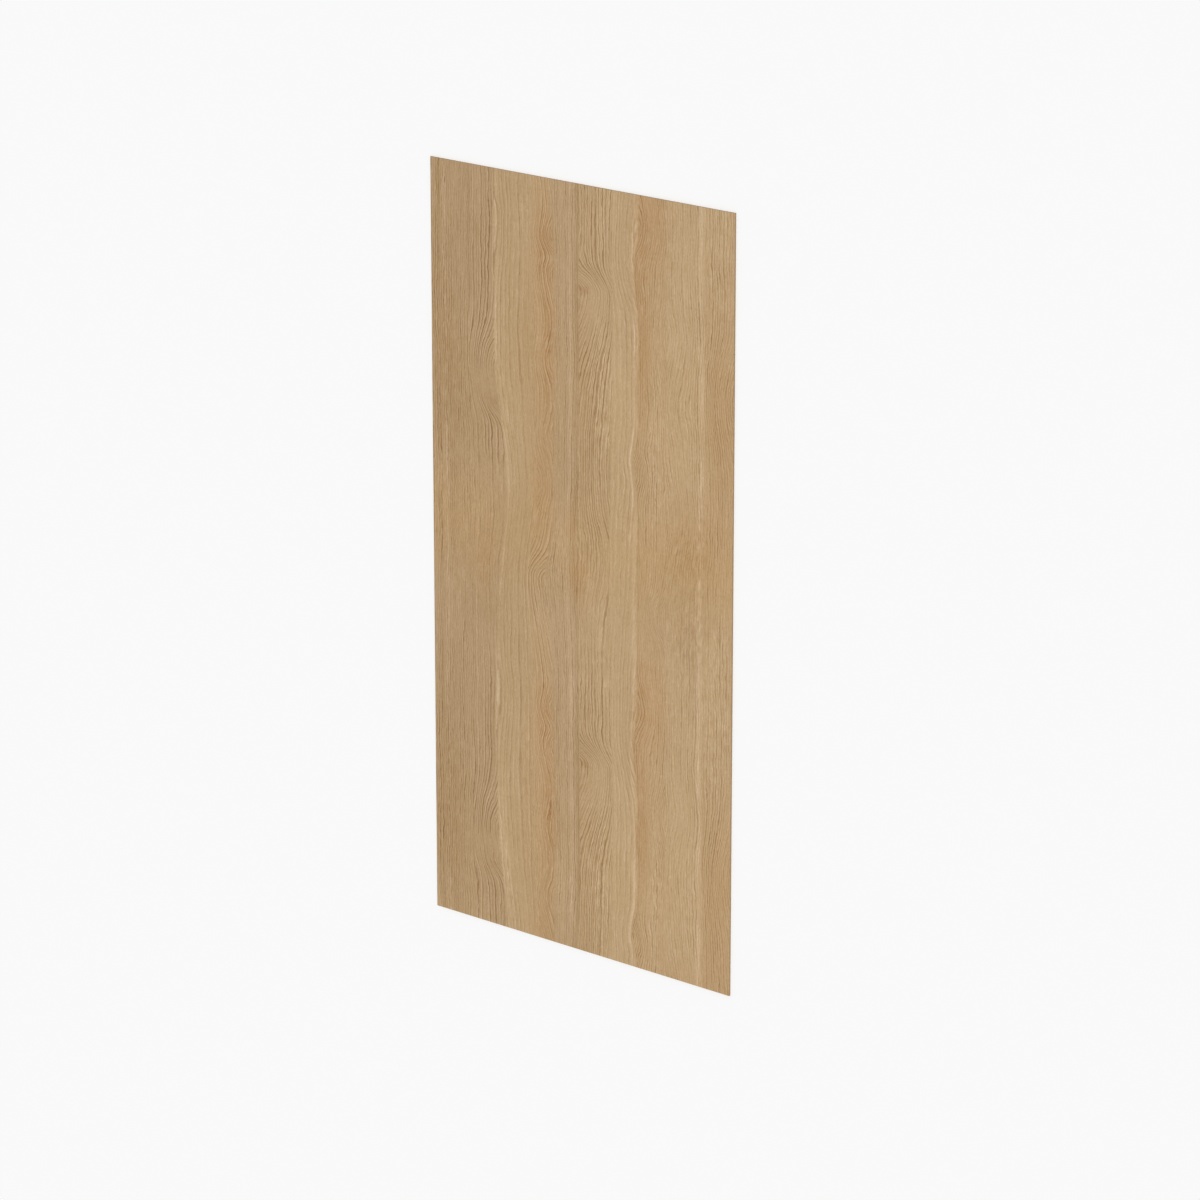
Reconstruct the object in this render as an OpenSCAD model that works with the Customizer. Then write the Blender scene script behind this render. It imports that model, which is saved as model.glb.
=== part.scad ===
// Plywood sheet with an oak face veneer, lying flat with its good face up.
// The origin is the middle of the back face. The face grain runs along Y, and Z is up.

/* [Sheet] */
// Length of the sheet, along the face grain
sheet_length = 2440; // [600:1:3660]
// Width of the sheet, across the face grain
sheet_width = 1220; // [300:1:1830]
// Thickness of the sheet, from its back to its good face
sheet_thickness = 6; // [3:0.1:40]

/* [Edges] */
// Reach of the bevel that sanding leaves where a face meets a sawn edge
face_arris = 0.3; // [0.1:0.05:1]
// Reach of the bevel on the four upright corners
corner_arris = 0.5; // [0.1:0.05:5]

/* [Hidden] */
// Pale natural oak
oak_colour = [0.71, 0.6, 0.45];

// A centred rectangle whose four corners are cut off at 45 degrees
module eased_rectangle(width, height, arris) {
    x = width / 2;
    y = height / 2;
    polygon([
        [x - arris, -y], [x, -y + arris], [x, y - arris], [x - arris, y],
        [-x + arris, y], [-x, y - arris], [-x, -y + arris], [-x + arris, -y]
    ]);
}

// The shape as seen from above, with its eased upright corners
module outline_prism() {
    linear_extrude(sheet_thickness, center = true)
        eased_rectangle(sheet_width, sheet_length, corner_arris);
}

// The section across the grain, run along the whole length
module cross_section_prism() {
    rotate([90, 0, 0])
        linear_extrude(sheet_length, center = true)
            eased_rectangle(sheet_width, sheet_thickness, face_arris);
}

// The section along the grain, run across the whole width
module long_section_prism() {
    rotate([90, 0, 90])
        linear_extrude(sheet_width, center = true)
            eased_rectangle(sheet_length, sheet_thickness, face_arris);
}

// One sheet: the space that its outline and both of its sections share
module plywood_sheet() {
    color(oak_colour)
        translate([0, 0, sheet_thickness / 2])
            intersection() {
                outline_prism();
                cross_section_prism();
                long_section_prism();
            }
}

plywood_sheet();
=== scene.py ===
"""The looks of an oak-faced plywood sheet that lies flat on a pale floor."""

import math
from collections import namedtuple

import bmesh
import bpy
from mathutils import Matrix, Vector


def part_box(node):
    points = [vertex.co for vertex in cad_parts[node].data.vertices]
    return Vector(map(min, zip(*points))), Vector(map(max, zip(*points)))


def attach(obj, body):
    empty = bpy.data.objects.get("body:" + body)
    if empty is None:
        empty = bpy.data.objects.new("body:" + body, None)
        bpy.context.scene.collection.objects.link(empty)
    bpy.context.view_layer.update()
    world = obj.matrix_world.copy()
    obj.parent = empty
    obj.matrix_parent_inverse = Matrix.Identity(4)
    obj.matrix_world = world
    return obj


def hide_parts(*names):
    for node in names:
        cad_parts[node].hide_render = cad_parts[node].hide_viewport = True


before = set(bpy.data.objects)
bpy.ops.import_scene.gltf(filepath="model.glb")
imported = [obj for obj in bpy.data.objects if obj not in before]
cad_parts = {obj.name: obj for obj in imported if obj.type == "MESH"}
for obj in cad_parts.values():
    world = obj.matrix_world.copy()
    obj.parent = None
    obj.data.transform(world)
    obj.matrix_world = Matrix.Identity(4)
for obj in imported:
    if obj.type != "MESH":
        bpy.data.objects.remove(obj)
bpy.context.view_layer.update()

# Sizes of the sheet, in millimetres, from the frame
MM = 0.001
sheet_low, sheet_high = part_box("plywood_sheet")
WIDTH = (sheet_high.x - sheet_low.x) / MM
LENGTH = (sheet_high.y - sheet_low.y) / MM
THICKNESS = (sheet_high.z - sheet_low.z) / MM

# Build of the board, in millimetres: five plies, with the face veneers thinner than the core plies
VENEER = 0.6
CORE_COUNT = 3
CORE_PLY = (THICKNESS - 2 * VENEER) / CORE_COUNT
PLIES = [VENEER, *[CORE_PLY] * CORE_COUNT, VENEER]
GLUE_LINE = 0.1

# Edges, in millimetres: the sanded arrises, and how much deeper than the other plies end grain lies
ARRIS = 0.3
CORNER_ARRIS = 0.5
END_GRAIN_SINK = 0.08

# Mesh of the sheet: the pitch of its points in millimetres, its sides, its material slots, and the
# last of the strips that its edges are made of, counted from the back up
GRID_STEP = 20.0
SIDES = 4
FACE, BACK, LONG_GRAIN, END_GRAIN, GLUE = range(5)
FACE_STRIP = 2 * len(PLIES)

# Places on the bake map, in pixels of a map that is 1024 pixels wide
MAP = 1024.0
MapArea = namedtuple("MapArea", "left bottom right top")
FACE_AREA = MapArea(4, 440, 1020, 1020)
BACK_AREA = MapArea(4, 128, 1020, 432)
EDGE_BOTTOM = 4.0
EDGE_LEFT = 4.0
EDGE_RIGHT = 1000.0
CORNER_RIGHT = 1016.0
STRIP_PITCH = 2.6

# View: the photograph's angle to the face, with the sheet's far end up in the picture. Distances are
# in metres, and the lens and its sensor in millimetres.
VIEW_TURN = math.radians(41.46)
VIEW_LIFT = math.radians(16.71)
VIEW_DISTANCE = 15.955
VIEW_RIGHT = 0.0634
VIEW_DOWN = 0.0756
VIEW_REACH = 500.0
LENS = 156.5
SENSOR = 36.0

# Floor and light: sizes in metres, and levels at which 1 is white
FLOOR_SIZE = 120.0
FLOOR_GAP = 0.0001
FLOOR_WHITE = 0.9
BACKGROUND_WHITE = 0.95
WORLD_LEVEL = 0.5
KEY_LEVEL = 0.5
KEY_HEIGHT = math.radians(60)
KEY_BEARING = math.radians(20)
KEY_SOFTNESS = math.radians(25)

# Tones of the oak, in linear light. Across the face the leaves' tones grow lighter from the left side to
# the right: partly their own tone and partly painted light, brighter towards the right side.
SMOKY = (0.435, 0.294, 0.158)
ASHEN = (0.460, 0.314, 0.172)
STRAW = (0.473, 0.322, 0.172)
PALE = (0.497, 0.345, 0.187)
OLIVE = (0.457, 0.313, 0.164)
LINEN = (0.483, 0.335, 0.181)
AMBER = (0.452, 0.272, 0.124)
TAWNY = (0.481, 0.323, 0.169)
CREAM = (0.540, 0.388, 0.222)
DUSK = (0.400, 0.260, 0.130)
RUSSET = (0.340, 0.175, 0.070)

# Tones of the sawn edges and of the glue between the plies
EDGE_DARK = (0.24, 0.155, 0.078)
EDGE_BROWN = (0.34, 0.225, 0.118)
EDGE_TAN = (0.42, 0.285, 0.155)
EDGE_STRAW = (0.45, 0.31, 0.17)
EDGE_PALE = (0.53, 0.38, 0.22)
GLUE_DARK = (0.12, 0.07, 0.035)
GLUE_BROWN = (0.20, 0.125, 0.066)

# Shades that multiply a tone: in the dark start of a growth ring, in a pore and in a warm band
RING_SHADE = (0.62, 0.53, 0.41)
PORE_SHADE = (0.55, 0.46, 0.36)
WARM_SHADE = (1.0, 0.975, 0.90)

# How much more the wood's darker and lighter marks change its green and its blue than its red
MARK_TINT = (1.0, 1.2, 1.9)

# Leaves of the face veneer, from left to right: the left side in millimetres, the tone, the gap
# between growth rings in millimetres, and how dark the rings are
Leaf = namedtuple("Leaf", "left tone ring_gap ring_depth")
# The tones rise from SMOKY at the left to PALE and TAWNY at the right, partly as painted light that is
# brighter on the right side
LEAVES = [
    Leaf(0, SMOKY, 9, 1.2),
    Leaf(56, SMOKY, 8, 1.3),
    Leaf(155, SMOKY, 16, 1.15),
    Leaf(261, OLIVE, 19, 0.6),
    Leaf(420, TAWNY, 16, 1.15),
    Leaf(497, ASHEN, 9, 1.5),
    Leaf(610, STRAW, 14, 1.6),
    Leaf(741, LINEN, 19, 0.6),
    Leaf(845, TAWNY, 9, 1.3),
    Leaf(955, PALE, 10, 1.1),
    Leaf(1108, TAWNY, 10, 1.4),
]
SEAM_WIDTH = 10.0

# Scales that bring a leaf's number, ring gap and ring depth under 1, to travel as one colour, and half
# the step from one such number to the next
LEAF_SCALE = 16
GAP_SCALE = 20.0
DEPTH_SCALE = 2.0
HALF_LEAF = 0.5 / LEAF_SCALE

# Light and dark stripes along the grain: the place from the left side and the half width in
# millimetres, and how much lighter the stripe is than the leaf
Stripe = namedtuple("Stripe", "across half_width lighter")
STRIPES = [
    Stripe(32, 7, -0.15),
    Stripe(55, 7, 0.13),
    Stripe(268, 8, 0.14),
    Stripe(576, 8, 0.15),
    Stripe(604, 6, -0.12),
    Stripe(836, 9, 0.18),
    Stripe(850, 4, -0.10),
    Stripe(1094, 10, 0.16),
]

# A swell is a smooth spot on the face: its place from the left side and from the far end, and how
# far it reaches sideways, towards the far end and towards the near end, all in millimetres. The
# figure comes again after a set length, as sliced veneer does.
Swell = namedtuple("Swell", "across along reach above below")
FIGURE_REPEAT = 1500.0

# Swells that push leaves and rings alike to the right, by so many millimetres
BENDS = [
    (Swell(845, 225, 65, 85, 120), -18),
    (Swell(845, 820, 70, 60, 70), -20),
    (Swell(290, 1000, 135, 250, 330), 52),
    (Swell(420, 1250, 90, 140, 160), -42),
    (Swell(620, 1120, 110, 260, 260), -14),
]

# Eyes that the rings of one leaf bend round: the leaf's number, counted from 0, the swell, and the push
EYES = [
    (2, Swell(272, 630, 95, 120, 80), -98),
    (2, Swell(272, 728, 75, 40, 45), -62),
    (2, Swell(240, 1000, 90, 230, 330), -34),
    (2, Swell(262, 1250, 80, 70, 90), -15),
    (3, Swell(262, 150, 80, 90, 160), 25),
    (4, Swell(505, 180, 80, 60, 45), -45),
    (4, Swell(505, 290, 80, 40, 90), -40),
    (4, Swell(500, 560, 80, 60, 60), -30),
    (4, Swell(500, 800, 80, 55, 60), -34),
    (4, Swell(420, 960, 80, 60, 60), 40),
    (4, Swell(500, 1265, 140, 65, 380), -72),
    (6, Swell(600, 325, 150, 55, 190), 130),
    (6, Swell(741, 1110, 120, 90, 220), 42),
    (7, Swell(845, 165, 120, 420, 150), -64),
    (8, Swell(850, 110, 80, 80, 70), 30),
    (8, Swell(850, 840, 60, 45, 60), 34),
    (8, Swell(955, 420, 80, 90, 90), -30),
    (8, Swell(955, 1300, 90, 80, 60), -40),
    (9, Swell(1010, 400, 90, 80, 80), 16),
    (9, Swell(990, 620, 80, 90, 90), -16),
    (9, Swell(1000, 980, 120, 150, 150), 30),
    (10, Swell(1220, 560, 110, 150, 170), -46),
]

# Places where the rings show more or, below 0, less: the swell, and how much clearer they are there
CLEAR_SPOTS = [
    (Swell(215, 350, 50, 250, 230), 0.9),
    (Swell(210, 800, 50, 50, 130), 0.7),
    (Swell(215, 672, 60, 38, 32), -0.8),
    (Swell(250, 1120, 80, 200, 230), -0.4),
    (Swell(210, 560, 55, 90, 75), 1.3),
    (Swell(670, 80, 50, 130, 180), 0.5),
    (Swell(665, 275, 50, 60, 30), 0.6),
    (Swell(665, 385, 45, 50, 40), -0.3),
    (Swell(680, 540, 55, 90, 120), 1.0),
    (Swell(690, 820, 45, 200, 250), 0.5),
    (Swell(425, 1250, 60, 75, 110), 0.9),
    (Swell(475, 220, 30, 100, 130), 0.7),
    (Swell(885, 850, 40, 90, 110), 0.6),
    (Swell(20, 500, 25, 350, 350), 0.5),
    (Swell(1170, 520, 50, 230, 230), 0.5),
    (Swell(110, 1290, 180, 190, 170), -0.4),
    (Swell(700, 1290, 130, 150, 150), -0.3),
    (Swell(1000, 1290, 260, 220, 170), -0.35),
    (Swell(330, 800, 60, 250, 350), -0.2),
]

# Places where the rings lie closer together: the swell, and how far the fine rings take over
FINE_SPOTS = [
    (Swell(680, 950, 80, 260, 380), 1.0),
    (Swell(200, 60, 60, 230, 200), 0.9),
    (Swell(460, 450, 60, 600, 600), 0.95),
]

# Patches of another tone: the tone, the swell, and how strong the patch is
PATCHES = [
    (AMBER, Swell(468, 200, 34, 110, 110), 0.7),
    (AMBER, Swell(402, 420, 34, 260, 330), 0.25),
    (AMBER, Swell(482, 500, 26, 200, 280), 0.9),
    (AMBER, Swell(436, 976, 60, 130, 130), 0.6),
    (AMBER, Swell(872, 90, 38, 150, 220), 0.85),
    (AMBER, Swell(926, 60, 24, 130, 230), 0.6),
    (AMBER, Swell(872, 480, 32, 170, 160), 0.75),
    (AMBER, Swell(905, 980, 50, 160, 190), 0.4),
    (AMBER, Swell(194, 1260, 30, 100, 90), 0.6),
    (AMBER, Swell(1060, 1070, 120, 150, 150), 0.55),
    (AMBER, Swell(1165, 470, 60, 270, 320), 0.3),
    (AMBER, Swell(590, 1068, 22, 60, 60), 0.5),
    (AMBER, Swell(625, 1224, 40, 60, 70), 0.6),
    (ASHEN, Swell(470, 1290, 50, 90, 130), 0.5),
    (TAWNY, Swell(90, 1110, 170, 210, 170), 0.6),
    (TAWNY, Swell(968, 60, 32, 170, 200), 0.6),
    (RUSSET, Swell(628, 322, 22, 11, 14), 0.45),
    (RUSSET, Swell(486, 508, 5, 55, 35), 0.85),
    (RUSSET, Swell(482, 590, 12, 70, 90), 0.2),
    (DUSK, Swell(30, 460, 55, 300, 260), 0.85),
    (DUSK, Swell(50, 540, 50, 120, 110), 0.4),
    (DUSK, Swell(90, 740, 90, 120, 110), 0.2),
    (DUSK, Swell(180, 1320, 130, 220, 170), 0.25),
    (DUSK, Swell(225, 730, 50, 110, 110), 0.35),
    (DUSK, Swell(380, 20, 40, 200, 180), 0.25),
    (DUSK, Swell(470, 790, 34, 190, 210), 0.3),
    (DUSK, Swell(1065, 1440, 32, 160, 160), 0.3),
    (DUSK, Swell(1060, 1330, 110, 200, 130), 0.4),
    (DUSK, Swell(85, 640, 35, 320, 330), 0.45),
    (DUSK, Swell(78, 1050, 24, 480, 420), 0.4),
    (DUSK, Swell(240, 1380, 90, 130, 130), 0.3),
    (DUSK, Swell(585, 820, 35, 190, 200), 0.2),
    (DUSK, Swell(592, 330, 18, 260, 260), 0.35),
    (DUSK, Swell(548, 660, 14, 80, 70), 0.3),
    (DUSK, Swell(236, 726, 26, 22, 22), 0.5),
    (DUSK, Swell(190, 1157, 18, 20, 20), 0.4),
    (DUSK, Swell(820, 210, 28, 220, 200), 0.2),
    (DUSK, Swell(643, 1380, 30, 130, 120), 0.25),
    (DUSK, Swell(920, 1380, 40, 120, 110), 0.3),
    (CREAM, Swell(288, 732, 14, 260, 220), 0.5),
    (CREAM, Swell(1050, 697, 60, 220, 200), 0.3),
    (CREAM, Swell(705, 640, 40, 260, 230), 0.9),
    (CREAM, Swell(705, 70, 40, 110, 130), 0.4),
    (CREAM, Swell(875, 950, 30, 110, 110), 0.25),
    (CREAM, Swell(530, 720, 26, 90, 90), 0.35),
    (CREAM, Swell(550, 1150, 42, 100, 110), 0.3),
    (CREAM, Swell(705, 1380, 40, 150, 130), 0.4),
    (CREAM, Swell(920, 650, 34, 450, 550), 0.6),
    (CREAM, Swell(1160, 60, 60, 350, 420), 0.6),
    (CREAM, Swell(1165, 1375, 50, 120, 110), 0.3),
]

# The order in which those tones are laid, so that a later one covers an earlier one
PATCH_ORDER = [ASHEN, TAWNY, AMBER, RUSSET, DUSK, CREAM]

# Broad bands across the whole face where the oak is warmer: the place from the far end and the half
# length in millimetres, and how strong the band is
Band = namedtuple("Band", "along half_length strength")
WARM_BANDS = [
    Band(640, 240, 0.4),
    Band(1130, 150, 0.85),
]

# Noise in the wood: the size of its spots in millimetres, across the grain and along it, how many
# finer layers it has, how strong they are, and a seed that sets it apart from other noise
Noise = namedtuple("Noise", "across along detail roughness seed", defaults=(2.0, 0.5, 0.0))

# A smooth step that goes from bottom to top while a value goes from low to high
Rise = namedtuple("Rise", "low high bottom top", defaults=(0.0, 1.0))

# How leaves, and rings within them, wander: the noise, and how far it pushes them in millimetres
LEAF_WANDER = [
    (Noise(300, 800), 9),
    (Noise(90, 300, seed=3.7), 4),
]
RING_WANDER = [
    (Noise(80, 230, detail=3, seed=8.1), 11),
    (Noise(16, 36, seed=5.3), 3.4),
]

# One growth ring, in shares of its gap: its dark start, how that fades, its light side, how uneven
# the gaps are, and how dark the faintest ring is and how much darker the strongest one is
RING_START = Rise(0.0, 0.14)
RING_FADE = Rise(0.14, 0.48, 1.0, 0.0)
RING_LIGHT_SIDE = Rise(0.66, 0.95)
RING_UNEVEN = Noise(45, 4000)
RING_UNEVEN_SHARE = 0.7
RING_FAINTEST = 0.3
RING_SPREAD = 0.75

# Where rings are broken and where they are clear, the share of fine rings among the broad ones, which
# changes in the fine spots, and the share of the light sides, which are weaker where rings are deep
RING_BREAKS = Noise(9.0, 60, roughness=0.6)
RING_BREAK_RISE = Rise(0.34, 0.6, 0.4, 1.0)
RING_CLARITY = Noise(60, 260, seed=2.6)
RING_CLARITY_RISE = Rise(0.3, 0.65, 0.5, 1.0)
FINE_GAP_SHARE = 0.62
FINE_RING_SHARE = 0.3
FINE_RING_GAIN = 0.6
BROAD_RING_LOSS = 0.75
LIGHT_SIDE_SHARE = 0.15
LIGHT_SIDE_LOSS = 0.12

# Finer marks on the face: the noise of each, and how much lighter or darker it makes the wood
STREAKS = Noise(7.0, 80, detail=3, roughness=0.6)
STREAK_CONTRAST = 0.135
FINE_STREAKS = Noise(2.6, 30)
FINE_CONTRAST = 0.15
DASHES = Noise(3.0, 9, detail=1, seed=4.4)
DASH_CONTRAST = 0.125
CLOUDS = Noise(120, 330, seed=1.9)
CLOUD_CONTRAST = 0.06

# Breaks in the stripes, and flecks that break up the patches
STRIPE_BREAKS = Noise(40, 260, seed=6.2)
STRIPE_BREAK_RISE = Rise(0.3, 0.7, 0.3, 1.3)
FLECKS = Noise(7.0, 38, detail=3, roughness=0.6)
FLECK_RISE = Rise(0.36, 0.64, 0.15, 1.85)

# Open pores, of which the dark start of a ring has more, and how strongly their shade shows
FACE_PORES = Noise(0.7, 16, detail=1)
PORE_RISE = Rise(0.62, 0.74)
PORE_SHARE = 0.3
RING_PORE_SHARE = 0.8
PORE_STRENGTH = 0.6

# Surface of the face and of the back: the gloss, the roughness and what pores add to it, the depth of
# the relief in millimetres, and how much of it each kind of mark on the face makes up
VENEER_GLOSS = 0.3
FACE_ROUGHNESS = 0.56
FACE_PORE_ROUGHNESS = 0.2
BACK_ROUGHNESS = 0.62
BACK_PORE_ROUGHNESS = 0.15
VENEER_RELIEF = 0.12
FINE_RELIEF_SHARE = 0.4
STREAK_RELIEF_SHARE = 0.4
PORE_RELIEF_SHARE = 0.8

# Plain grain of the back, with its tones at levels of the broad noise
BACK_WANDER = [(Noise(320, 900), 22)]
BACK_BROAD = Noise(38, 1600)
BACK_TONES = [(0.3, SMOKY), (0.5, STRAW), (0.7, TAWNY)]
BACK_STREAKS = Noise(6.0, 320, detail=3, roughness=0.6)
BACK_STREAK_CONTRAST = 0.22
BACK_FINE_STREAKS = Noise(1.2, 80)
BACK_FINE_CONTRAST = 0.12
BACK_PORES = Noise(0.8, 18, detail=1)

# Plies with the grain along the edge, with tones at levels of the streaks. Their noise is measured up
# the edge and then along it.
LONG_GRAIN_STREAKS = Noise(0.22, 45, detail=3, roughness=0.6)
LONG_GRAIN_TONES = [(0.25, EDGE_BROWN), (0.5, EDGE_STRAW), (0.75, EDGE_PALE)]
LONG_GRAIN_PATCHES = Noise(1.6, 240)
LONG_GRAIN_CONTRAST = 0.18
LONG_GRAIN_ROUGHNESS = 0.72
LONG_GRAIN_GLOSS = 0.25
LONG_GRAIN_RELIEF = 0.06

# Plies with end grain, and glue, with tones at levels of the specks and of the patches. Their noise is
# measured along the edge and then up it.
END_GRAIN_SPECKS = Noise(0.5, 0.35)
END_GRAIN_TONES = [(0.3, EDGE_DARK), (0.55, EDGE_BROWN), (0.8, EDGE_TAN)]
END_GRAIN_BANDS = Noise(7.0, 1.2, detail=3)
END_GRAIN_CONTRAST = 0.25
END_GRAIN_ROUGHNESS = 0.85
END_GRAIN_GLOSS = 0.15
END_GRAIN_RELIEF = 0.08
GLUE_PATCHES = Noise(9.0, 2.0)
GLUE_TONES = [(0.3, GLUE_DARK), (0.7, GLUE_BROWN)]
GLUE_ROUGHNESS = 0.6
GLUE_GLOSS = 0.5

# Sockets of a mix node that mixes colours, which share their names with those for other kinds
MIX_FACTOR, MIX_FIRST, MIX_SECOND = 0, 6, 7
MIX_RESULT = 2


class Graph:
    """The nodes of one material, with a method for each kind of step."""

    def __init__(self, name):
        self.material = bpy.data.materials.new(name)
        self.material.use_nodes = True
        self.tree = self.material.node_tree
        self.shader = self.tree.nodes["Principled BSDF"]

    def feed(self, socket, value):
        """Link another socket to this one, or set a plain value on it."""
        if isinstance(value, bpy.types.NodeSocket):
            self.tree.links.new(value, socket)
        else:
            socket.default_value = value

    def math(self, operation, *values):
        """The result of one step of arithmetic."""
        node = self.tree.nodes.new("ShaderNodeMath")
        node.operation = operation
        for socket, value in zip(node.inputs, values):
            self.feed(socket, value)
        return node.outputs["Value"]

    def point(self):
        """The place on the piece: its x, y and z, in metres."""
        place = self.tree.nodes.new("ShaderNodeTexCoord")
        parts = self.tree.nodes.new("ShaderNodeSeparateXYZ")
        self.tree.links.new(place.outputs["Object"], parts.inputs["Vector"])
        return parts.outputs["X"], parts.outputs["Y"], parts.outputs["Z"]

    def noise(self, across, along, noise):
        """Smooth noise from 0 to 1, at a place in millimetres."""
        place = self.tree.nodes.new("ShaderNodeCombineXYZ")
        self.feed(place.inputs["X"], self.math("MULTIPLY_ADD", across, 1 / noise.across, noise.seed))
        self.feed(place.inputs["Y"], self.math("DIVIDE", along, noise.along))
        node = self.tree.nodes.new("ShaderNodeTexNoise")
        node.noise_dimensions = "2D"
        self.feed(node.inputs["Vector"], place.outputs["Vector"])
        node.inputs["Scale"].default_value = 1.0
        node.inputs["Detail"].default_value = noise.detail
        node.inputs["Roughness"].default_value = noise.roughness
        return node.outputs["Fac"]

    def swing(self, fraction, amount):
        """Turn a value from 0 to 1 into one from -amount to amount."""
        return self.math("MULTIPLY_ADD", fraction, 2 * amount, -amount)

    def random(self, value):
        """One random number from 0 to 1 for each value."""
        node = self.tree.nodes.new("ShaderNodeTexWhiteNoise")
        node.noise_dimensions = "1D"
        self.feed(node.inputs["W"], value)
        return node.outputs["Value"]

    def smooth(self, value, rise):
        """Follow a smooth step as the value grows."""
        node = self.tree.nodes.new("ShaderNodeMapRange")
        node.interpolation_type = "SMOOTHSTEP"
        self.feed(node.inputs["Value"], value)
        node.inputs["From Min"].default_value = rise.low
        node.inputs["From Max"].default_value = rise.high
        node.inputs["To Min"].default_value = rise.bottom
        node.inputs["To Max"].default_value = rise.top
        return node.outputs["Result"]

    def bell(self, square):
        """Fall from 1 towards 0 as the square of a distance grows."""
        return self.math("POWER", math.exp(-1), square)

    def past(self, along, place):
        """Millimetres past a place on the figure, at the nearest of its repeats."""
        ahead = self.math("SUBTRACT", along, place)
        return self.math("WRAP", ahead, FIGURE_REPEAT / 2, -FIGURE_REPEAT / 2)

    def ramp(self, value, stops, interpolation="LINEAR"):
        """A colour for each value, from (position, colour) stops."""
        node = self.tree.nodes.new("ShaderNodeValToRGB")
        node.color_ramp.interpolation = interpolation
        elements = node.color_ramp.elements
        elements.remove(elements[1])
        for number, (position, colour) in enumerate(stops):
            element = elements[0] if number == 0 else elements.new(position)
            element.position = position
            element.color = (*colour, 1.0)
        self.feed(node.inputs["Fac"], value)
        return node.outputs["Color"]

    def parts(self, colour):
        """The red, green and blue of a colour."""
        node = self.tree.nodes.new("ShaderNodeSeparateColor")
        self.feed(node.inputs["Color"], colour)
        return node.outputs["Red"], node.outputs["Green"], node.outputs["Blue"]

    def mix(self, factor, first, second, blend="MIX"):
        """Go from the first colour to the second, as far as the factor says."""
        node = self.tree.nodes.new("ShaderNodeMix")
        node.data_type = "RGBA"
        node.blend_type = blend
        self.feed(node.inputs[MIX_FACTOR], factor)
        self.feed(node.inputs[MIX_FIRST], first)
        self.feed(node.inputs[MIX_SECOND], second)
        return node.outputs[MIX_RESULT]

    def tint(self, factor, colour, shade):
        """Multiply a colour by a shade, as far as the factor says."""
        return self.mix(factor, colour, (*shade, 1.0), "MULTIPLY")

    def brighten(self, colour, amount):
        """Lighten a colour by a share of itself, with more change in the blue than in the red."""
        change = self.tree.nodes.new("ShaderNodeVectorMath")
        change.operation = "MULTIPLY"
        self.feed(change.inputs[0], colour)
        change.inputs[1].default_value = MARK_TINT
        total = self.tree.nodes.new("ShaderNodeVectorMath")
        total.operation = "MULTIPLY_ADD"
        self.feed(total.inputs[0], change.outputs["Vector"])
        self.feed(total.inputs[1], amount)
        self.feed(total.inputs[2], colour)
        return total.outputs["Vector"]

    def surface(self, colour, roughness, gloss):
        """Give the shader its colour, its roughness and its gloss."""
        self.feed(self.shader.inputs["Base Color"], colour)
        self.feed(self.shader.inputs["Roughness"], roughness)
        self.shader.inputs["Specular IOR Level"].default_value = gloss

    def bump(self, height, depth):
        """Relief of the given depth in millimetres."""
        node = self.tree.nodes.new("ShaderNodeBump")
        node.inputs["Strength"].default_value = 1.0
        node.inputs["Distance"].default_value = depth * MM
        self.feed(node.inputs["Height"], height)
        self.feed(self.shader.inputs["Normal"], node.outputs["Normal"])


def face_place(graph):
    """Millimetres from the left side and from the far end of the sheet."""
    x, y, _ = graph.point()
    across = graph.math("MULTIPLY_ADD", x, 1 / MM, WIDTH / 2)
    along = graph.math("MULTIPLY_ADD", y, -1 / MM, LENGTH / 2)
    return across, along


def edge_place(graph):
    """Millimetres along a sawn edge and up it, which serve for the long edges and the ends."""
    x, y, z = graph.point()
    along = graph.math("MULTIPLY", graph.math("ADD", x, y), 1 / MM)
    return along, graph.math("MULTIPLY", z, 1 / MM)


def leaf_tones():
    """Colour stops across the face, with a soft seam between one leaf and the next."""
    stops = [(0.0, LEAVES[0].tone)]
    for before, leaf in zip(LEAVES, LEAVES[1:]):
        stops.append(((leaf.left - SEAM_WIDTH / 2) / WIDTH, before.tone))
        stops.append(((leaf.left + SEAM_WIDTH / 2) / WIDTH, leaf.tone))
    return stops


def leaf_facts():
    """For each leaf, its number, its ring gap and its ring depth, as one colour."""
    stops = []
    for number, leaf in enumerate(LEAVES):
        facts = (number / LEAF_SCALE, leaf.ring_gap / GAP_SCALE, leaf.ring_depth / DEPTH_SCALE)
        stops.append((leaf.left / WIDTH, facts))
    return stops


def band_warmth(graph, along):
    """How strong the warm bands are at a place along the sheet."""
    total = 0.0
    for band in WARM_BANDS:
        end = graph.math("DIVIDE", graph.past(along, band.along), band.half_length)
        fall = graph.bell(graph.math("MULTIPLY", end, end))
        total = graph.math("MULTIPLY_ADD", fall, band.strength, total)
    return total


def stripe_light(graph, straight, along):
    """How much lighter or darker the stripes make the face."""
    total = 0.0
    for stripe in STRIPES:
        middle = stripe.across / stripe.half_width
        side = graph.math("MULTIPLY_ADD", straight, 1 / stripe.half_width, -middle)
        fall = graph.bell(graph.math("MULTIPLY", side, side))
        total = graph.math("MULTIPLY_ADD", fall, stripe.lighter, total)
    broken = graph.smooth(graph.noise(straight, along, STRIPE_BREAKS), STRIPE_BREAK_RISE)
    return graph.math("MULTIPLY", total, broken)


def swell_height(graph, swell, across, along):
    """1 at the middle of a swell, falling smoothly to 0 round it."""
    side = graph.math("MULTIPLY_ADD", across, 1 / swell.reach, -swell.across / swell.reach)
    ahead = graph.past(along, swell.along)
    below = graph.math("DIVIDE", ahead, swell.below)
    above = graph.math("DIVIDE", ahead, -swell.above)
    end = graph.math("MAXIMUM", below, above)
    return graph.bell(graph.math("MULTIPLY_ADD", end, end, graph.math("MULTIPLY", side, side)))


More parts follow.
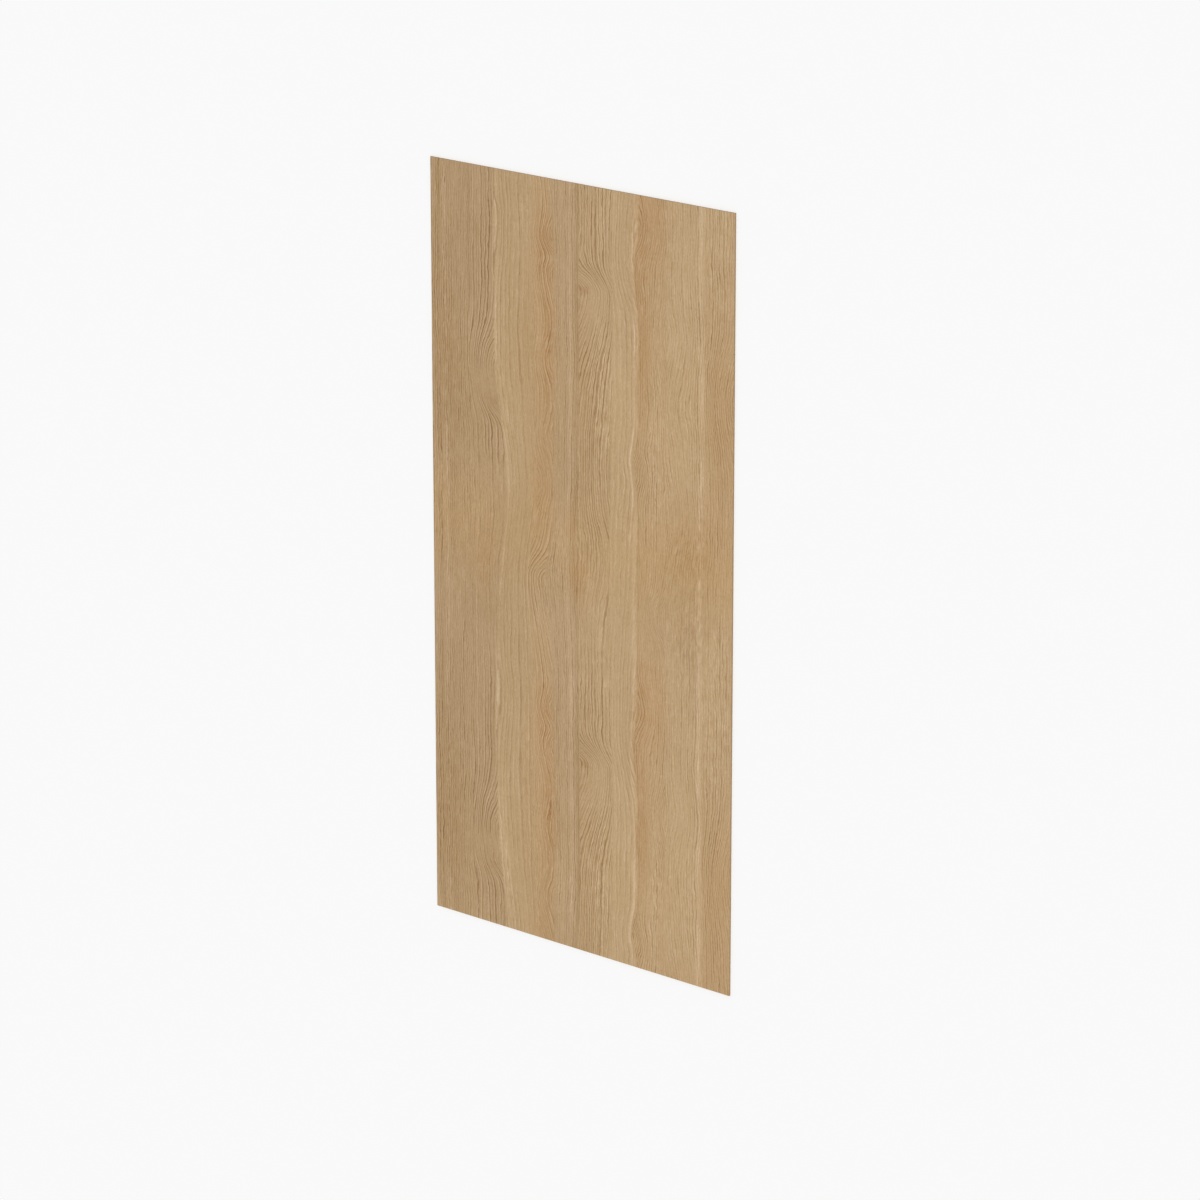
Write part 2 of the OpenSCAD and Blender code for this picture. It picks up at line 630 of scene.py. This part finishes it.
def wander(graph, place, across, along, ways):
    """Push a place across the face aside, as each noise says."""
    for noise, far in ways:
        place = graph.math("ADD", place, graph.swing(graph.noise(across, along, noise), far))
    return place


def bend_leaves(graph, across, along):
    """The place across the face, measured in leaves that wander and bend a little."""
    straight = wander(graph, across, across, along, LEAF_WANDER)
    for swell, push in BENDS:
        height = swell_height(graph, swell, across, along)
        straight = graph.math("MULTIPLY_ADD", height, -push, straight)
    return straight


def bend_rings(graph, straight, along, leaf_number):
    """The place across the growth rings, which bend round the eyes of their own leaf."""
    line = straight
    for leaf, swell, push in EYES:
        height = swell_height(graph, swell, straight, along)
        here = graph.math("COMPARE", leaf_number, leaf / LEAF_SCALE, HALF_LEAF)
        line = graph.math("MULTIPLY_ADD", graph.math("MULTIPLY", height, here), -push, line)
    return wander(graph, line, straight, along, RING_WANDER)


def spots_total(graph, spots, across, along, total=0.0):
    """The strengths of a list of swells, added up at each place."""
    for swell, strength in spots:
        height = swell_height(graph, swell, across, along)
        total = graph.math("MULTIPLY_ADD", height, strength, total)
    return total


def lay_patches(graph, colour, straight, along, fleck):
    """Mix the patches of each other tone into a colour, broken up into flecks."""
    for tone in PATCH_ORDER:
        spots = [(swell, strength) for patch_tone, swell, strength in PATCHES if patch_tone == tone]
        share = graph.math("MULTIPLY", spots_total(graph, spots, straight, along), fleck)
        share = graph.math("MINIMUM", share, 1.0)
        colour = graph.mix(share, colour, (*tone, 1.0))
    return colour


def ring_lines(graph, line, along, gap):
    """The dark start of each growth ring, with a strength of its own, and the place within the ring."""
    uneven = graph.swing(graph.noise(line, along, RING_UNEVEN), RING_UNEVEN_SHARE)
    turn = graph.math("ADD", graph.math("DIVIDE", line, gap), uneven)
    place = graph.math("FRACT", turn)
    own = graph.random(graph.math("FLOOR", turn))
    own = graph.math("MULTIPLY_ADD", own, RING_SPREAD, RING_FAINTEST)
    start = graph.math("MULTIPLY", graph.smooth(place, RING_START), graph.smooth(place, RING_FADE))
    return graph.math("MULTIPLY", start, own), place


def ring_pattern(graph, straight, line, along, gap_share, depth_share):
    """How dark the rings are at each place, how light their sides are, and where broad ones start."""
    gap = graph.math("MULTIPLY", gap_share, GAP_SCALE)
    broad_ring, place = ring_lines(graph, line, along, gap)
    fine_ring, _ = ring_lines(graph, line, along, graph.math("MULTIPLY", gap, FINE_GAP_SHARE))
    broken = graph.smooth(graph.noise(line, along, RING_BREAKS), RING_BREAK_RISE)
    clear = graph.smooth(graph.noise(straight, along, RING_CLARITY), RING_CLARITY_RISE)
    clear = spots_total(graph, CLEAR_SPOTS, straight, along, clear)
    close = spots_total(graph, FINE_SPOTS, straight, along)
    broad_share = graph.math("MULTIPLY_ADD", close, -BROAD_RING_LOSS, 1.0)
    fine_share = graph.math("MULTIPLY_ADD", close, FINE_RING_GAIN, FINE_RING_SHARE)
    dark = graph.math("MULTIPLY", graph.math("MULTIPLY", broad_ring, broken), broad_share)
    dark = graph.math("MULTIPLY_ADD", fine_ring, fine_share, dark)
    dark = graph.math("MULTIPLY", dark, graph.math("MULTIPLY", clear, depth_share))
    dark = graph.math("MINIMUM", graph.math("MULTIPLY", dark, DEPTH_SCALE), 1.0)
    light_share = graph.math("MULTIPLY_ADD", depth_share, -LIGHT_SIDE_LOSS, LIGHT_SIDE_SHARE)
    light_share = graph.math("MULTIPLY", clear, light_share)
    light = graph.math("MULTIPLY", graph.smooth(place, RING_LIGHT_SIDE), light_share)
    return dark, light, broad_ring


def oak_face_material():
    """Sliced oak veneer with a swirling figure, laid in leaves."""
    graph = Graph("oak_face_veneer")
    across, along = face_place(graph)
    straight = bend_leaves(graph, across, along)
    place = graph.math("DIVIDE", straight, WIDTH)
    leaf_number, gap_share, depth_share = graph.parts(graph.ramp(place, leaf_facts(), "CONSTANT"))
    line = bend_rings(graph, straight, along, leaf_number)
    dark, light, broad_ring = ring_pattern(graph, straight, line, along, gap_share, depth_share)

    # Finer marks: streaks and flecks that follow the rings, dashes and clouds that don't, and pores
    streak = graph.noise(line, along, STREAKS)
    fine = graph.noise(line, along, FINE_STREAKS)
    dash = graph.noise(straight, along, DASHES)
    cloud = graph.noise(straight, along, CLOUDS)
    fleck = graph.smooth(graph.noise(line, along, FLECKS), FLECK_RISE)
    pore = graph.smooth(graph.noise(line, along, FACE_PORES), PORE_RISE)
    pore = graph.math("MULTIPLY", pore, graph.math("MULTIPLY_ADD", broad_ring, RING_PORE_SHARE, PORE_SHARE))

    # Colour: the leaves with their stripes, patches and warm bands, then the rings, then the finer marks
    colour = graph.ramp(place, leaf_tones())
    colour = graph.brighten(colour, stripe_light(graph, straight, along))
    colour = lay_patches(graph, colour, straight, along, fleck)
    colour = graph.tint(band_warmth(graph, along), colour, WARM_SHADE)
    colour = graph.tint(dark, colour, RING_SHADE)
    colour = graph.brighten(colour, light)
    colour = graph.brighten(colour, graph.swing(streak, STREAK_CONTRAST))
    colour = graph.brighten(colour, graph.swing(fine, FINE_CONTRAST))
    colour = graph.brighten(colour, graph.swing(dash, DASH_CONTRAST))
    colour = graph.brighten(colour, graph.swing(cloud, CLOUD_CONTRAST))
    colour = graph.tint(graph.math("MULTIPLY", pore, PORE_STRENGTH), colour, PORE_SHADE)

    roughness = graph.math("MULTIPLY_ADD", pore, FACE_PORE_ROUGHNESS, FACE_ROUGHNESS)
    graph.surface(colour, roughness, VENEER_GLOSS)
    fine_relief = graph.math("MULTIPLY", fine, FINE_RELIEF_SHARE)
    streak_relief = graph.math("MULTIPLY", streak, STREAK_RELIEF_SHARE)
    pore_relief = graph.math("MULTIPLY", pore, PORE_RELIEF_SHARE)
    relief = graph.math("SUBTRACT", graph.math("ADD", fine_relief, streak_relief), pore_relief)
    graph.bump(relief, VENEER_RELIEF)
    return graph.material


def oak_back_material():
    """Plain straight-grained oak for the back."""
    graph = Graph("oak_back_veneer")
    across, along = face_place(graph)
    line = wander(graph, across, across, along, BACK_WANDER)
    streak = graph.noise(line, along, BACK_STREAKS)
    fine = graph.noise(line, along, BACK_FINE_STREAKS)
    pore = graph.smooth(graph.noise(line, along, BACK_PORES), PORE_RISE)
    colour = graph.ramp(graph.noise(line, along, BACK_BROAD), BACK_TONES)
    colour = graph.brighten(colour, graph.swing(streak, BACK_STREAK_CONTRAST))
    colour = graph.brighten(colour, graph.swing(fine, BACK_FINE_CONTRAST))
    colour = graph.tint(graph.math("MULTIPLY", pore, PORE_STRENGTH), colour, PORE_SHADE)
    roughness = graph.math("MULTIPLY_ADD", pore, BACK_PORE_ROUGHNESS, BACK_ROUGHNESS)
    graph.surface(colour, roughness, VENEER_GLOSS)
    graph.bump(graph.math("SUBTRACT", fine, pore), VENEER_RELIEF)
    return graph.material


def long_grain_material():
    """Sawn edge of a ply whose grain runs along the edge."""
    graph = Graph("ply_long_grain")
    along, up = edge_place(graph)
    streak = graph.noise(up, along, LONG_GRAIN_STREAKS)
    patch = graph.noise(up, along, LONG_GRAIN_PATCHES)
    colour = graph.ramp(streak, LONG_GRAIN_TONES)
    colour = graph.brighten(colour, graph.swing(patch, LONG_GRAIN_CONTRAST))
    graph.surface(colour, LONG_GRAIN_ROUGHNESS, LONG_GRAIN_GLOSS)
    graph.bump(streak, LONG_GRAIN_RELIEF)
    return graph.material


def end_grain_material():
    """Sawn edge of a ply whose grain runs into the sheet."""
    graph = Graph("ply_end_grain")
    along, up = edge_place(graph)
    speck = graph.noise(along, up, END_GRAIN_SPECKS)
    band = graph.noise(along, up, END_GRAIN_BANDS)
    colour = graph.ramp(speck, END_GRAIN_TONES)
    colour = graph.brighten(colour, graph.swing(band, END_GRAIN_CONTRAST))
    graph.surface(colour, END_GRAIN_ROUGHNESS, END_GRAIN_GLOSS)
    graph.bump(speck, END_GRAIN_RELIEF)
    return graph.material


def glue_line_material():
    """Dark glue between two plies."""
    graph = Graph("ply_glue_line")
    along, up = edge_place(graph)
    colour = graph.ramp(graph.noise(along, up, GLUE_PATCHES), GLUE_TONES)
    graph.surface(colour, GLUE_ROUGHNESS, GLUE_GLOSS)
    return graph.material


# A level of the edge, in millimetres: its height, and how far inside the sheet its two kinds of side lie
Level = namedtuple("Level", "height long_sink end_sink")


def runs_long(ply):
    """Whether a ply's grain runs along the sheet, which it does in every other ply from the back up."""
    return ply % 2 == 0


def edge_levels():
    """The heights at which the edge turns. Plies with end grain lie a little deeper than the others."""
    levels = []
    last = len(PLIES) - 1
    bottom = 0.0
    for ply, thickness in enumerate(PLIES):
        top = bottom + thickness
        long_sink = 0.0 if runs_long(ply) else END_GRAIN_SINK
        end_sink = END_GRAIN_SINK if runs_long(ply) else 0.0
        low = ARRIS if ply == 0 else bottom + GLUE_LINE / 2
        high = THICKNESS - ARRIS if ply == last else top - GLUE_LINE / 2
        levels.append(Level(low, long_sink, end_sink))
        levels.append(Level(high, long_sink, end_sink))
        bottom = top
    return levels


def strip_material(strip, is_long_edge):
    """Material of one strip of an edge, counted from the back up."""
    if strip == 0:
        return BACK
    if strip == FACE_STRIP:
        return FACE
    if strip % 2 == 0:
        return GLUE
    ply = (strip - 1) // 2
    return LONG_GRAIN if runs_long(ply) == is_long_edge else END_GRAIN


def spread(half, count):
    """Evenly spaced places from -half to half."""
    return [-half + 2 * half * number / count for number in range(count + 1)]


def grid_of_points(mesh, height, x_places, y_places):
    """Points of a flat rectangle, in rows from the near end to the far end."""
    return [[mesh.verts.new((x * MM, y * MM, height * MM)) for x in x_places] for y in y_places]


def border_rows(grid):
    """The four border rows of a grid of points, in turn round the sheet from the near end."""
    near = grid[0]
    right = [row[-1] for row in grid]
    far = grid[-1][::-1]
    left = [row[0] for row in grid][::-1]
    return [near, right, far, left]


def level_rows(mesh, level, x_count, y_count):
    """Points round the sheet at one level of its edge, as four rows from the near end."""
    half_x = WIDTH / 2 - level.long_sink
    half_y = LENGTH / 2 - level.end_sink
    x_places = spread(WIDTH / 2 - CORNER_ARRIS, x_count)
    y_places = spread(LENGTH / 2 - CORNER_ARRIS, y_count)
    outlines = [
        [(x, -half_y) for x in x_places],
        [(half_x, y) for y in y_places],
        [(x, half_y) for x in reversed(x_places)],
        [(-half_x, y) for y in reversed(y_places)],
    ]
    rows = []
    for outline in outlines:
        rows.append([mesh.verts.new((x * MM, y * MM, level.height * MM)) for x, y in outline])
    return rows


def lay_flat(face, layer, area):
    """Put a face of the top or the back on its area of the map."""
    for loop in face.loops:
        share_x = loop.vert.co.x / MM / WIDTH + 0.5
        share_y = loop.vert.co.y / MM / LENGTH + 0.5
        u = area.left + share_x * (area.right - area.left)
        v = area.bottom + share_y * (area.top - area.bottom)
        loop[layer].uv = (u / MAP, v / MAP)


def lay_strip(face, layer, left, right, bottom):
    """Put a four-sided or three-sided face of an edge on its place in a strip of the map."""
    top = bottom + STRIP_PITCH
    corners = [(left, bottom), (right, bottom), (right, top), (left, top)]
    for loop, (u, v) in zip(face.loops, corners):
        loop[layer].uv = (u / MAP, v / MAP)


def add_face(mesh, points, material):
    """A face through the points, without those that come twice."""
    face = mesh.faces.new(list(dict.fromkeys(points)))
    face.material_index = material
    return face


def fill_grid(mesh, layer, grid, material, area):
    """Faces between the points of a grid, which look up on the good face and down on the back."""
    for near, far in zip(grid, grid[1:]):
        for first, second, third, fourth in zip(near, near[1:], far[1:], far):
            points = (first, second, third, fourth)
            if material == BACK:
                points = (first, fourth, third, second)
            lay_flat(add_face(mesh, points, material), layer, area)


def add_strip(mesh, layer, low, high, material, bottom):
    """Faces between two rows of points along one side, in a row on the map."""
    pitch = (EDGE_RIGHT - EDGE_LEFT) / (len(low) - 1)
    for number, points in enumerate(zip(low, low[1:], high[1:], high)):
        left = EDGE_LEFT + number * pitch
        right = EDGE_LEFT + (number + 1) * pitch
        lay_strip(add_face(mesh, points, material), layer, left, right, bottom)


def fill_edges(mesh, layer, loops):
    """Faces of the edges: strip by strip from the back up, and side by side with a corner after each."""
    strip_count = len(loops) - 1
    for strip, (low, high) in enumerate(zip(loops, loops[1:])):
        for side in range(SIDES):
            is_long_edge = side % 2 == 1
            material = strip_material(strip, is_long_edge)
            bottom = EDGE_BOTTOM + (side * strip_count + strip) * STRIP_PITCH
            add_strip(mesh, layer, low[side], high[side], material, bottom)
            after = (side + 1) % SIDES
            points = (low[side][-1], low[after][0], high[after][0], high[side][-1])
            corner = add_face(mesh, points, material)
            lay_strip(corner, layer, EDGE_RIGHT, CORNER_RIGHT, bottom)


def build_sheet():
    """The whole sheet as one closed mesh: two faces, and edges with their plies in relief."""
    mesh = bmesh.new()
    layer = mesh.loops.layers.uv.new("OFBake")
    x_count = round(WIDTH / GRID_STEP)
    y_count = round(LENGTH / GRID_STEP)
    x_places = spread(WIDTH / 2 - ARRIS, x_count)
    y_places = spread(LENGTH / 2 - ARRIS, y_count)
    back = grid_of_points(mesh, 0.0, x_places, y_places)
    face = grid_of_points(mesh, THICKNESS, x_places, y_places)
    fill_grid(mesh, layer, face, FACE, FACE_AREA)
    fill_grid(mesh, layer, back, BACK, BACK_AREA)
    levels = [level_rows(mesh, level, x_count, y_count) for level in edge_levels()]
    fill_edges(mesh, layer, [border_rows(back), *levels, border_rows(face)])

    data = bpy.data.meshes.new("oak_plywood_sheet")
    mesh.to_mesh(data)
    mesh.free()
    piece = bpy.data.objects.new("oak_plywood_sheet", data)
    bpy.context.scene.collection.objects.link(piece)
    materials = [
        oak_face_material(),
        oak_back_material(),
        long_grain_material(),
        end_grain_material(),
        glue_line_material(),
    ]
    for material in materials:
        data.materials.append(material)
    return piece


def seen_directly(tree):
    """1 for rays that show the background: seen by the camera, in a gloss or through a pane."""
    path = tree.nodes.new("ShaderNodeLightPath")
    seen = path.outputs["Is Camera Ray"]
    for ray in ("Is Glossy Ray", "Is Transmission Ray"):
        either = tree.nodes.new("ShaderNodeMath")
        either.operation = "MAXIMUM"
        tree.links.new(seen, either.inputs[0])
        tree.links.new(path.outputs[ray], either.inputs[1])
        seen = either.outputs["Value"]
    return seen


def floor_material():
    """Pale matt floor, lifted to the background's white where it is seen."""
    material = bpy.data.materials.new("pale_floor")
    material.use_nodes = True
    tree = material.node_tree
    tree.nodes.clear()
    matt = tree.nodes.new("ShaderNodeBsdfDiffuse")
    matt.inputs["Color"].default_value = (FLOOR_WHITE, FLOOR_WHITE, FLOOR_WHITE, 1.0)
    lift = tree.nodes.new("ShaderNodeEmission")
    scale = tree.nodes.new("ShaderNodeMath")
    scale.operation = "MULTIPLY"
    tree.links.new(seen_directly(tree), scale.inputs[0])
    scale.inputs[1].default_value = BACKGROUND_WHITE - FLOOR_WHITE
    tree.links.new(scale.outputs["Value"], lift.inputs["Strength"])
    both = tree.nodes.new("ShaderNodeAddShader")
    tree.links.new(matt.outputs["BSDF"], both.inputs[0])
    tree.links.new(lift.outputs["Emission"], both.inputs[1])
    output = tree.nodes.new("ShaderNodeOutputMaterial")
    tree.links.new(both.outputs["Shader"], output.inputs["Surface"])
    return material


def build_floor():
    """A wide level floor just under the sheet."""
    half = FLOOR_SIZE / 2
    height = sheet_low.z - FLOOR_GAP
    outline = [(-half, -half), (half, -half), (half, half), (-half, half)]
    data = bpy.data.meshes.new("floor")
    data.from_pydata([(x, y, height) for x, y in outline], [], [(0, 1, 2, 3)])
    data.materials.append(floor_material())
    floor = bpy.data.objects.new("floor", data)
    bpy.context.scene.collection.objects.link(floor)


def light_world():
    """Even light from all round, and a white background where it is seen."""
    world = bpy.data.worlds.new("studio")
    bpy.context.scene.world = world
    world.use_nodes = True
    tree = world.node_tree
    light = tree.nodes["Background"]
    light.inputs["Color"].default_value = (1.0, 1.0, 1.0, 1.0)
    light.inputs["Strength"].default_value = WORLD_LEVEL
    white = tree.nodes.new("ShaderNodeBackground")
    white.inputs["Color"].default_value = (1.0, 1.0, 1.0, 1.0)
    white.inputs["Strength"].default_value = BACKGROUND_WHITE
    choose = tree.nodes.new("ShaderNodeMixShader")
    tree.links.new(seen_directly(tree), choose.inputs["Fac"])
    tree.links.new(light.outputs["Background"], choose.inputs[1])
    tree.links.new(white.outputs["Background"], choose.inputs[2])
    tree.links.new(choose.outputs["Shader"], tree.nodes["World Output"].inputs["Surface"])


def add_key_light():
    """A distant soft light from the right, so that it falls evenly on sheet and floor."""
    lamp = bpy.data.lights.new("key_light", "SUN")
    lamp.energy = KEY_LEVEL * math.pi / math.sin(KEY_HEIGHT)
    lamp.angle = KEY_SOFTNESS
    key = bpy.data.objects.new("key_light", lamp)
    towards = Vector((
        math.cos(KEY_HEIGHT) * math.cos(KEY_BEARING),
        math.cos(KEY_HEIGHT) * math.sin(KEY_BEARING),
        math.sin(KEY_HEIGHT),
    ))
    key.rotation_euler = towards.to_track_quat("Z", "Y").to_euler()
    bpy.context.scene.collection.objects.link(key)


def add_camera():
    """The photograph's view of the face: from the right of it and from towards its far end."""
    back = Vector((
        math.sin(VIEW_TURN) * math.cos(VIEW_LIFT),
        math.sin(VIEW_LIFT),
        math.cos(VIEW_TURN) * math.cos(VIEW_LIFT),
    ))
    right = Vector((math.cos(VIEW_TURN), 0.0, -math.sin(VIEW_TURN)))
    up = back.cross(right)
    data = bpy.data.cameras.new("camera")
    data.lens = LENS
    data.sensor_width = SENSOR
    data.clip_end = VIEW_REACH
    camera = bpy.data.objects.new("camera", data)
    middle = Vector((0.0, 0.0, sheet_high.z))
    camera.location = middle + back * VIEW_DISTANCE + right * VIEW_RIGHT - up * VIEW_DOWN
    camera.rotation_euler = Matrix((right, up, back)).transposed().to_euler()
    bpy.context.scene.collection.objects.link(camera)
    bpy.context.scene.camera = camera


sheet = build_sheet()
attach(sheet, "root")
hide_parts("plywood_sheet")
build_floor()
light_world()
add_key_light()
add_camera()
bpy.context.scene.view_settings.view_transform = "Standard"
